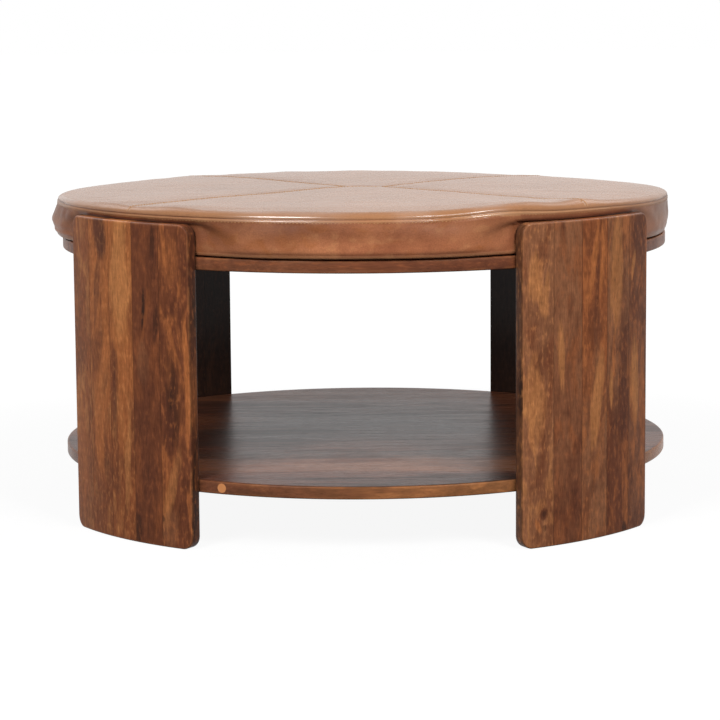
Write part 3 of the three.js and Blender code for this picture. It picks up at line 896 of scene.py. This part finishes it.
def swelling(point):
    """How far the cloth moved near a point of the form"""
    if swollen is None:
        return Vector((0, 0, 0))
    total, moved = 0.0, np.zeros(3)
    for _, index, distance in tree_of_places.find_n(point, 8):
        weight = 1 / (distance + 0.002) ** 2
        total += weight
        moved = moved + weight * swollen[1][index]
    return Vector(moved / total)


# Where the leather has stretched or creased in use: an azimuth and height on the band, half
# sizes round it and up it, and how far it stands in or out
band_creases = [
    (-84, 0.3570, 26, 0.0032, -0.0010),
    (22, 0.3860, 5, 0.0030, 0.0007),
    (-70, 0.3780, 9, 0.0040, 0.0008),
    (-16, 0.3700, 7, 0.0090, 0.0009),
    (-2, 0.3660, 5, 0.0100, -0.0008),
    (14, 0.3690, 6, 0.0090, 0.0009),
    (74, 0.3760, 8, 0.0060, -0.0007),
    (96, 0.3640, 10, 0.0060, 0.0010),
    (180, 0.3680, 9, 0.0080, 0.0010),
    (-172, 0.3620, 4, 0.0060, -0.0010),
]

# Where the layers of a seam's end, and the legs' corners, lift the top near its rim: an azimuth
# and radius, how far up, and how far round about
rim_lifts = [
    (-140, 0.372, 0.0018, 0.030),
    (140, 0.372, 0.0018, 0.034),
    (42.7, 0.372, 0.0034, 0.030),
    (31, 0.372, 0.0022, 0.030),
    (-37, 0.372, 0.0023, 0.040),
    (-54, 0.372, 0.0018, 0.040),
    (-163, 0.362, 0.0014, 0.020),
]

# The top's unevenness: a height, how many waves it has in a metre, and where its noise starts
top_waves = [(0.0008, 9, 1.5), (0.0003, 34, 7)]


def band_relief(azimuth, height):
    """The band's creases, its puckers below the seam and its slow unevenness"""
    relief = -0.0006 * bell(height - fold_level, 0.0016)
    for at, level, wide, tall, out in band_creases:
        relief += out * bell(turn_from(azimuth, at), wide) * bell(height - level, tall)
    pucker = noise.noise(Vector((azimuth * 0.55, 4.0, 0))) * math.exp(-(seam_level - height) / 0.012)
    slow = noise.noise(around(9, azimuth, height * 30))
    return relief + pucker * 0.0007 + slow * 0.0006


def top_relief(x, y):
    """The top's unevenness, and what lifts it near its rim"""
    lift = 0.0
    for height, waves, start in top_waves:
        lift += height * noise.noise(Vector((x * waves, y * waves, start)))
    for azimuth, radius, rise, reach in rim_lifts:
        at = around(radius, azimuth, 0)
        lift += rise * bell(math.hypot(x - at.x, y - at.y), reach)
    return lift * min(1, (seam_radius - math.hypot(x, y)) / 0.012)


def top_points(flat, distance):
    """The finished places of points of the top, given in plan with their distance from a seam.
    Along a seam the hide has a shallow valley, a cut in its middle and a ridge on each side."""
    placed = []
    for (x, y), gap in zip(flat, distance):
        fade = min(1, (seam_radius - math.hypot(x, y)) / 0.02)
        base = Vector((x, y, crown(x, y)))
        groove = 0.0005 * bell(gap, 0.006) * fade + 0.0004 * bell(gap, 0.0009)
        ridge = 0.0003 * bell(gap - 0.0024, 0.0012)
        place = base + swelling(base) * (0.25 * fade)
        place.z += top_relief(x, y) + ridge - groove
        placed.append(place)
    return placed


# The top's plan: lines beside each seam, a grid of points between them, and the ring where
# the roll begins
roll_radius = seam_radius - shoulder_width
seam_offsets = [0, 0.0006, 0.0012, 0.0018, 0.0025, 0.0034, 0.005, 0.008]
seam_step = 0.004
grid_spacing = 0.0065
grid_gap = 0.011
point_spacing = 0.0004

column_azimuths = set(round(a, 4) for a in np.arange(-180, 180, 0.75))
for azimuth in seam_azimuths.values():
    column_azimuths = {a for a in column_azimuths if abs(turn_from(a, azimuth)) > 0.9}
    for offset in seam_offsets[:-2]:
        turn = math.degrees(offset / roll_radius)
        column_azimuths |= {round(azimuth + turn, 4), round(azimuth - turn, 4)}
columns = sorted(column_azimuths)
count = len(columns)

candidates = []
for start, end in seam_lines:
    along = (end - start).normalized()
    beside = Vector((-along.y, along.x, 0))
    for offset in seam_offsets:
        for side in (-1, 1) if offset else (1,):
            for step in np.arange(0, (end - start).length, seam_step):
                point = start + along * step + beside * (side * offset)
                candidates.append((point.x, point.y, offset))
reach = int(roll_radius / grid_spacing) + 2
for row in range(-reach, reach + 1):
    for column in range(-reach, reach + 1):
        x, y = (column + 0.5 * (row % 2)) * grid_spacing, row * grid_spacing * 0.866
        candidates.append((x, y, grid_gap))
kept = {}
for (x, y, limit), gap in zip(candidates, seam_distance(candidates)):
    if gap >= limit - 1e-6 and math.hypot(x, y) < roll_radius - 0.0025:
        kept.setdefault((round(x / point_spacing), round(y / point_spacing)), Vector((x, y)))
ring = [around(roll_radius, azimuth, 0).xy for azimuth in columns]
ring_edges = [(i, (i + 1) % count) for i in range(count)]
plan_points, _, plan_faces, *_ = delaunay_2d_cdt([*ring, *kept.values()], ring_edges, [], 1, 1e-7)
plan_gaps = seam_distance(plan_points)
vertices = top_points(plan_points, plan_gaps)
faces = [tuple(face) for face in plan_faces]
seam_values = list(plan_gaps)

# The roll, which comes down from the crown to the rim seam
rows = []
for turn in range(9, 73, 9):
    radius = roll_radius + shoulder_width * math.sin(math.radians(turn))
    flat = [around(radius, azimuth, 0).xy for azimuth in columns]
    distances = seam_distance(flat)
    rows.append(top_points(flat, distances))
    seam_values += list(distances)

# The seam's turned lip with its topstitch line: how far each of its rows stands out from the rim
# seam and above it, and how near a seam it looks
lip_rows = [
    (-0.0003, 0.0004, 0.012),
    (-0.0006, -0.0001, 0.004),
    (-0.0013, -0.0007, 0.0004),
    (-0.0004, -0.0013, 0.01),
    (0.0004, -0.0022, 0.01),
    (0.0003, -0.0032, 0.01),
    (0.0001, -0.0040, 0.01),
]
lip_swelling = 0.3
for out, above, gap in lip_rows:
    level = seam_level + above
    places = [around(band_radius(min(level, seam_level), a) + out, a, level) for a in columns]
    rows.append([place + swelling(place) * lip_swelling for place in places])
    seam_values += [gap] * count

# The band, which a leg's top holds in, and its foot
far_from_seam = 0.02
near_fold = 0.0011
for level in np.linspace(seam_level - 0.0052, hem_level + foot_radius, 26):
    down = (seam_level - level) / (seam_level - hem_level)
    row = []
    for azimuth in columns:
        base = around(band_radius(level, azimuth), azimuth, level)
        place = base + swelling(base) * min(1, (seam_level - level) / 0.01)
        reach = math.hypot(place.x, place.y) + band_relief(azimuth, level)
        if level < leg_height - 0.002 and band_freedom(azimuth, down) == 0:
            reach = min(reach, held_radius)
        row.append(around(reach, azimuth, level))
    rows.append(row)
    seam_values += [near_fold if abs(level - fold_level) < 0.0008 else far_from_seam] * count
above_foot = [math.hypot(place.x, place.y) for place in rows[-1]]
for angle in (30, 60, 90):
    drop = foot_radius * math.sin(math.radians(angle))
    draw = foot_radius * (1 - math.cos(math.radians(angle)))
    level = hem_level + foot_radius - drop
    rows.append([around(radius - draw, azimuth, level) for azimuth, radius in zip(columns, above_foot)])
    seam_values += [far_from_seam] * count
first = len(vertices)
vertices += sum(rows, [])
faces += [(i, first + i, first + (i + 1) % count, (i + 1) % count) for i in range(count)]
faces += [(a, d, c, b) for a, b, c, d in ring_faces(len(rows), count, first)]
faces.append(tuple(range(len(vertices) - count, len(vertices))))

# Darker patches on the band: an azimuth and height, half sizes round it and up it, and how
# much. Where the roll is rubbed to a shine: an azimuth, a half size and how much.
darker_patches = [(-15, 0.381, 7, 0.008, 0.22), (6, 0.370, 5, 0.010, 0.08), (-29, 0.364, 4, 0.008, 0.1)]
burnishes = [(-13, 10, 1.0), (8.5, 3.5, 0.8), (22, 3.5, 0.8), (-75, 9, 0.3), (150, 12, 0.6), (-170, 8, 0.6)]
lip_top, lip_foot, roll_foot = seam_level - 0.001, seam_level - 0.0036, seam_level - 0.004
shade_and_patches, lips, burnished = [], [], []
for x, y, z in vertices:
    azimuth, radius = math.degrees(math.atan2(x, -y)), math.hypot(x, y)
    # Painted shade: the band is darkened just above each leg's top, and the darker patches join it
    near_leg = 1 - band_freedom(azimuth) if radius > roll_radius else 0
    shade_and_patch = near_leg * min(1, math.exp(-(z - leg_height - 0.001) / 0.0035))
    for at, level, wide, tall, share in darker_patches:
        if z < roll_foot:
            shade_and_patch = max(shade_and_patch, share * bell(azimuth - at, wide) * bell(z - level, tall))
    shade_and_patches.append(shade_and_patch)
    shine = max(share * math.exp(-((azimuth - at) / wide) ** 4) for at, wide, share in burnishes)
    burnished.append(shine if z > roll_foot and radius > roll_radius + 0.004 else 0.0)
    on_lip = lip_foot < z < lip_top or z < fold_level - 0.001
    lips.append(1.0 if radius > seam_radius - 0.01 and on_lip else 0.0)
mesh = shape("pad_leather_finished", [settled(Vector(place)) for place in vertices], faces)
for name, values in (("seam", seam_values), ("shade_and_patches", shade_and_patches), ("lip", lips), ("burnished", burnished)):
    note(mesh, name, values)
face_outwards(mesh)
mesh.shade_smooth()


def tan_leather(name, dark, light, roughness, specular, unevenness, polish, sheen, seam_shade):
    """Waxed tan hide with its clouds of dye, its pebble grain, its creases and its darker seams.
    Unevenness says how strong its clouds and creases are and its painted light on the right, polish
    how much its wax shines, and the last how far painted shade darkens the band near its seam while
    painted light makes it paler near its foot."""
    material, shader, place = finish_of(name, roughness, specular)
    seam, shade_and_patches, lip, burnished = (place.noted(kind) for kind in ("seam", "shade_and_patches", "lip", "burnished"))
    clouds = place.cloud((11, 11, 16), 4, 3, 0.5)
    patches = place.cloud((34, 34, 44), 4, 8, 0.8)
    blooms = place.cloud((70, 70, 90), 3, 5).mask(0.5, 0.75)
    speck = place.cloud((620, 620, 620), 2, 11)
    edges = {"feature": "DISTANCE_TO_EDGE"}
    pebble = place.node("TexVoronoi", edges, {"Vector": place, "Scale": 620.0})
    creases = place.node("TexVoronoi", edges, {"Vector": place, "Scale": 85.0})
    depth_of_specks = 0.25 + 0.35 * unevenness

    # The dye's clouds, the specks and the pebbles. Painted light makes the hide paler on the right,
    # and painted shade makes the band darker near its seam and paler near its foot.
    colour = ((clouds - 0.5) * (3.3 * unevenness) + 0.5).blend(rgb(dark), rgb(light))
    colour = colour.under(rgb("8a5029"), patches.mask(0.5, 0.72) * (0.5 * unevenness))
    colour = colour.under(rgb("d29c69"), blooms * (0.14 * unevenness))
    colour = colour.times(1 - depth_of_specks / 2 + speck * depth_of_specks)
    colour = colour.times(0.92 + pebble.mask(0.0, 0.12) * 0.08)
    colour = colour.times(1 + place.part(0).mask(-0.09, 0.0) * (0.25 * unevenness))
    # Painted shade near the seam and painted light near the foot
    colour = colour.times(1 + (place.part(2).mask(0.377, 0.357) - 0.55) * seam_shade)

    # A seam's dark line and pale edge, the pale lip and foot, painted shade above the legs with the
    # darker patches, and a painted grey sheen on the right end
    colour = colour.under(rgb("5c3019"), seam.mask(0.0016, 0.0004) * 0.2)
    colour = colour.under(rgb("d9b48c"), seam.mask(0.0008, 0.0016) * seam.mask(0.0036, 0.0026) * 0.25)
    colour = colour.under(rgb("b98a62"), lip * 0.45)
    colour = colour.under(rgb("44211a"), shade_and_patches * 0.5)
    # Painted reflection: a grey sheen laid over the right end
    colour = colour.under(rgb("8d8178"), place.part(0).mask(0.3, 0.385) * (0.4 * unevenness))
    folds = creases.mask(0.0, 0.04) * (0.5 * unevenness * unevenness)
    height = pebble.mask(0.0, 0.15) * 0.6 + speck * 0.3 + folds
    fill(shader, {
        "Base Color": colour,
        "Roughness": roughness + (patches - 0.5) * (0.12 * unevenness),
        "Normal": height.bump(0.1 + 0.1 * unevenness, 0.0003),
        "Sheen Weight": sheen,
        "Sheen Roughness": 0.3,
        "Coat Weight": burnished * 0.85 + polish,
        "Coat Roughness": 0.17,
        "Coat IOR": 1.7,
    })
    return material


mesh.materials.append(tan_leather(
    "tan_leather_top", dark="8b5d38", light="a97651", roughness=0.27, specular=0.27, unevenness=0.35,
    polish=0.08, sheen=0.0, seam_shade=0.0,
))
mesh.materials.append(tan_leather(
    "tan_leather_band", dark="804c33", light="a06645", roughness=0.42, specular=0.1, unevenness=1.0,
    polish=0.01, sheen=0.2, seam_shade=0.38,
))
for face in mesh.polygons:
    on_band = face.center.z < seam_level and math.hypot(*face.center[:2]) > roll_radius
    face.material_index = 1 if on_band else 0
leather = added("pad_leather_finished", mesh)
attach(leather, "pad")
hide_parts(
    "pad_leather_front", "pad_leather_right", "pad_leather_back", "pad_leather_left",
    "pad_leather_side", "pad_foam",
)


# THE PAD'S STITCHES
# Waxed thread, a little paler than the hide. One row holds the rim seam's turned lip down to
# the band, and one runs beside each seam of the top.

stitch_pitch = 0.0044
stitch_length = 0.0035
thread_radius = 0.00032
topstitch_offset = 0.0026
rim_stitch_level = seam_level - 0.0044

material, shader, place = finish_of("waxed_thread", 0.55)
twist = place.cloud((2500, 2500, 2500), 2)
fill(shader, {
    "Base Color": twist.mask(0.3, 0.7).blend(rgb("8a5a34"), rgb("c79a68")),
    "Roughness": 0.45 + twist * 0.2,
    "Normal": twist.bump(0.3, 0.0001),
})

tree = bpy.data.node_groups.new("stitch_row", "GeometryNodeTree")
tree.interface.new_socket(name="Path", in_out="INPUT", socket_type="NodeSocketGeometry")
sizes = {}
for name, size in (("Pitch", stitch_pitch), ("Length", stitch_length), ("Thread radius", thread_radius)):
    socket = tree.interface.new_socket(name=name, in_out="INPUT", socket_type="NodeSocketFloat")
    sizes[socket.identifier] = size
tree.interface.new_socket(name="Stitches", in_out="OUTPUT", socket_type="NodeSocketGeometry")

# One stitch bows out of its first hole and into its second, as a round thread with closed ends
row = Shade(tree)
path, pitch, length, thread = (row.node("NodeGroupInput", {}, {}, index) for index in range(4))
from_hole = row.node("CombineXYZ", {}, {0: length * -0.5, 2: thread * -1.2})
over = row.node("CombineXYZ", {}, {2: thread * 3.0})
to_hole = row.node("CombineXYZ", {}, {0: length * 0.5, 2: thread * -1.2})
bow = row.node(
    "GeometryNodeCurveQuadraticBezier", {},
    {"Resolution": 5, "Start": from_hole, "Middle": over, "End": to_hole},
)
round_thread = row.node("GeometryNodeCurvePrimitiveCircle", {}, {"Resolution": 6, "Radius": thread})
stitch = row.node(
    "GeometryNodeCurveToMesh", {}, {"Curve": bow, "Profile Curve": round_thread, "Fill Caps": True}
)

# The stitches follow one another along the path, and each stands out of the hide
line = row.node("GeometryNodeMeshToCurve", {}, {"Mesh": path})
spaced = row.node("GeometryNodeResampleCurve", {"mode": "LENGTH"}, {"Curve": line, "Length": pitch})
tangent = row.node("GeometryNodeInputTangent", {}, {})
out_of_hide = row.node("GeometryNodeInputNamedAttribute", {"data_type": "FLOAT_VECTOR"}, {"Name": "outward"})
along = row.node("FunctionNodeAlignRotationToVector", {"axis": "X"}, {"Vector": tangent})
upright = row.node(
    "FunctionNodeAlignRotationToVector", {"axis": "Z", "pivot_axis": "X"},
    {"Rotation": along, "Vector": out_of_hide},
)
sewn = row.node(
    "GeometryNodeInstanceOnPoints", {}, {"Points": spaced, "Instance": stitch, "Rotation": upright}
)
real = row.node("GeometryNodeRealizeInstances", {}, {"Geometry": sewn})
dressed = row.node("GeometryNodeSetMaterial", {}, {"Geometry": real, "Material": material})
row.node("NodeGroupOutput", {}, {"Stitches": dressed})

points, outward, edges = [], [], []
for i, azimuth in enumerate(np.arange(-180, 180, 1.0)):
    base = around(band_radius(rim_stitch_level, azimuth) - 0.0002, azimuth, rim_stitch_level)
    points.append(base + swelling(base) * lip_swelling)
    outward.append(around(1, azimuth, 0.1))
    edges.append((i, (i + 1) % 360))
for start, end in seam_lines:
    along_seam = (end - start).normalized()
    beside = Vector((along_seam.y, -along_seam.x, 0)) * topstitch_offset
    steps = np.arange(0.004, (end - start).length - 0.006, 0.005)
    flat = [start + along_seam * step + beside for step in steps]
    first = len(points)
    points += top_points([point.xy for point in flat], seam_distance(flat))
    outward += [Vector((0, 0, 1))] * len(flat)
    edges += [(i - 1, i) for i in range(first + 1, len(points))]
mesh = shape("stitch_paths", [settled(point) for point in points], [], edges)
note(mesh, "outward", outward)
paths = added("stitch_paths", mesh)
sewing = paths.modifiers.new("sewing", "NODES")
sewing.node_group = tree
for identifier, size in sizes.items():
    sewing[identifier] = size
evaluated = paths.evaluated_get(bpy.context.evaluated_depsgraph_get())
mesh = bpy.data.meshes.new_from_object(evaluated)
mesh.shade_smooth()
bpy.data.objects.remove(paths)
stitches = added("pad_stitches", mesh)
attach(stitches, "pad")


# THE STUDIO
# A pale floor that runs out of sight, soft lamps on both sides, before and behind, and a
# white surround for the eye and for every reflection.

floor_size = 40


def seen_by(tree, *rays):
    """1 for the named kinds of ray, and 0 for the others"""
    seen, *others = [Shade(tree).node("LightPath", {}, {}, ray) for ray in rays]
    for other in others:
        seen = seen.maths("MAXIMUM", seen, other)
    return seen


material, shader, place = finish_of("pale_floor", 0.9, 0.0)
tree = material.node_tree
speckle = place.cloud((60, 60, 60), 3)
fill(shader, {"Base Color": speckle.blend((0.08, 0.08, 0.08, 1), (0.1, 0.1, 0.1, 1))})
far = (place.part(0) ** 2.0 + place.part(1) ** 2.0) ** 0.5
glow = place.node("Emission", {}, {"Color": 0.92 + far.mask(0.5, 1.6) * 0.08, "Strength": 1.0})
nothing = place.node("Emission", {}, {"Strength": 0.0})
seen = seen_by(tree, "Is Camera Ray", "Is Glossy Ray")
white = place.node("MixShader", {}, {0: seen, 1: nothing, 2: glow})
total = place.node("AddShader", {}, {0: Shade(tree, shader.outputs[0]), 1: white})
fill(tree.nodes["Material Output"], {"Surface": total})
edge = floor_size / 2
corners = [(-edge, -edge, 0), (edge, -edge, 0), (edge, edge, 0), (-edge, edge, 0)]
mesh = shape("studio_floor", corners, [(0, 1, 2, 3)])
mesh.materials.append(material)
floor = added("studio_floor", mesh)

world = bpy.data.worlds.new("studio")
bpy.context.scene.world = world
world.use_nodes = True
seen = seen_by(world.node_tree, "Is Camera Ray", "Is Glossy Ray", "Is Transmission Ray")
fill(world.node_tree.nodes["Background"], {"Color": (1, 1, 1, 1), "Strength": seen * 0.93 + 0.07})

# Soft square lamps: where each stands, what it is turned towards, its size and its power
lamps = {
    "lamp_front_left": ((-2.2, -3.5, 2.9), (0, 0, 0.25), 1.6, 160),
    "lamp_front_right": ((2.3, -3.4, 2.9), (0, 0, 0.25), 1.6, 160),
    "lamp_back_left": ((-2.4, 2.8, 3.4), (0, 0, 0.25), 1.8, 20),
    "lamp_back_right": ((2.4, 2.8, 3.4), (0, 0, 0.25), 1.8, 20),
    "lamp_above": ((0, -0.2, 3.2), (0, 0, 0.4), 1.6, 3),
}
for name, (place, aim, size, power) in lamps.items():
    light = bpy.data.lights.new(name, "AREA")
    light.shape, light.size, light.energy = "SQUARE", size, power
    lamp = added(name, light)
    lamp.location = place
    lamp.rotation_euler = (Vector(aim) - Vector(place)).to_track_quat("-Z", "Y").to_euler()

# The camera stands where the photograph was taken from.
camera_place = Vector((-0.00073, -3.47906, 0.66805))
yaw, pitch, roll = -0.0016, 0.1407, -0.0079
forward = Vector((math.sin(yaw) * math.cos(pitch), math.cos(yaw) * math.cos(pitch), -math.sin(pitch)))
right = Vector((math.cos(yaw), -math.sin(yaw), 0))
up = right.cross(forward)
right, up = right * math.cos(roll) + up * math.sin(roll), up * math.cos(roll) - right * math.sin(roll)
lens = bpy.data.cameras.new("camera")
lens.lens = 136.52
lens.sensor_width = 36
lens.clip_end = 100
camera = added("camera", lens)
camera.matrix_world = Matrix.Translation(camera_place) @ Matrix((right, up, -forward)).transposed().to_4x4()
bpy.context.scene.camera = camera
bpy.context.scene.view_settings.view_transform = "Standard"
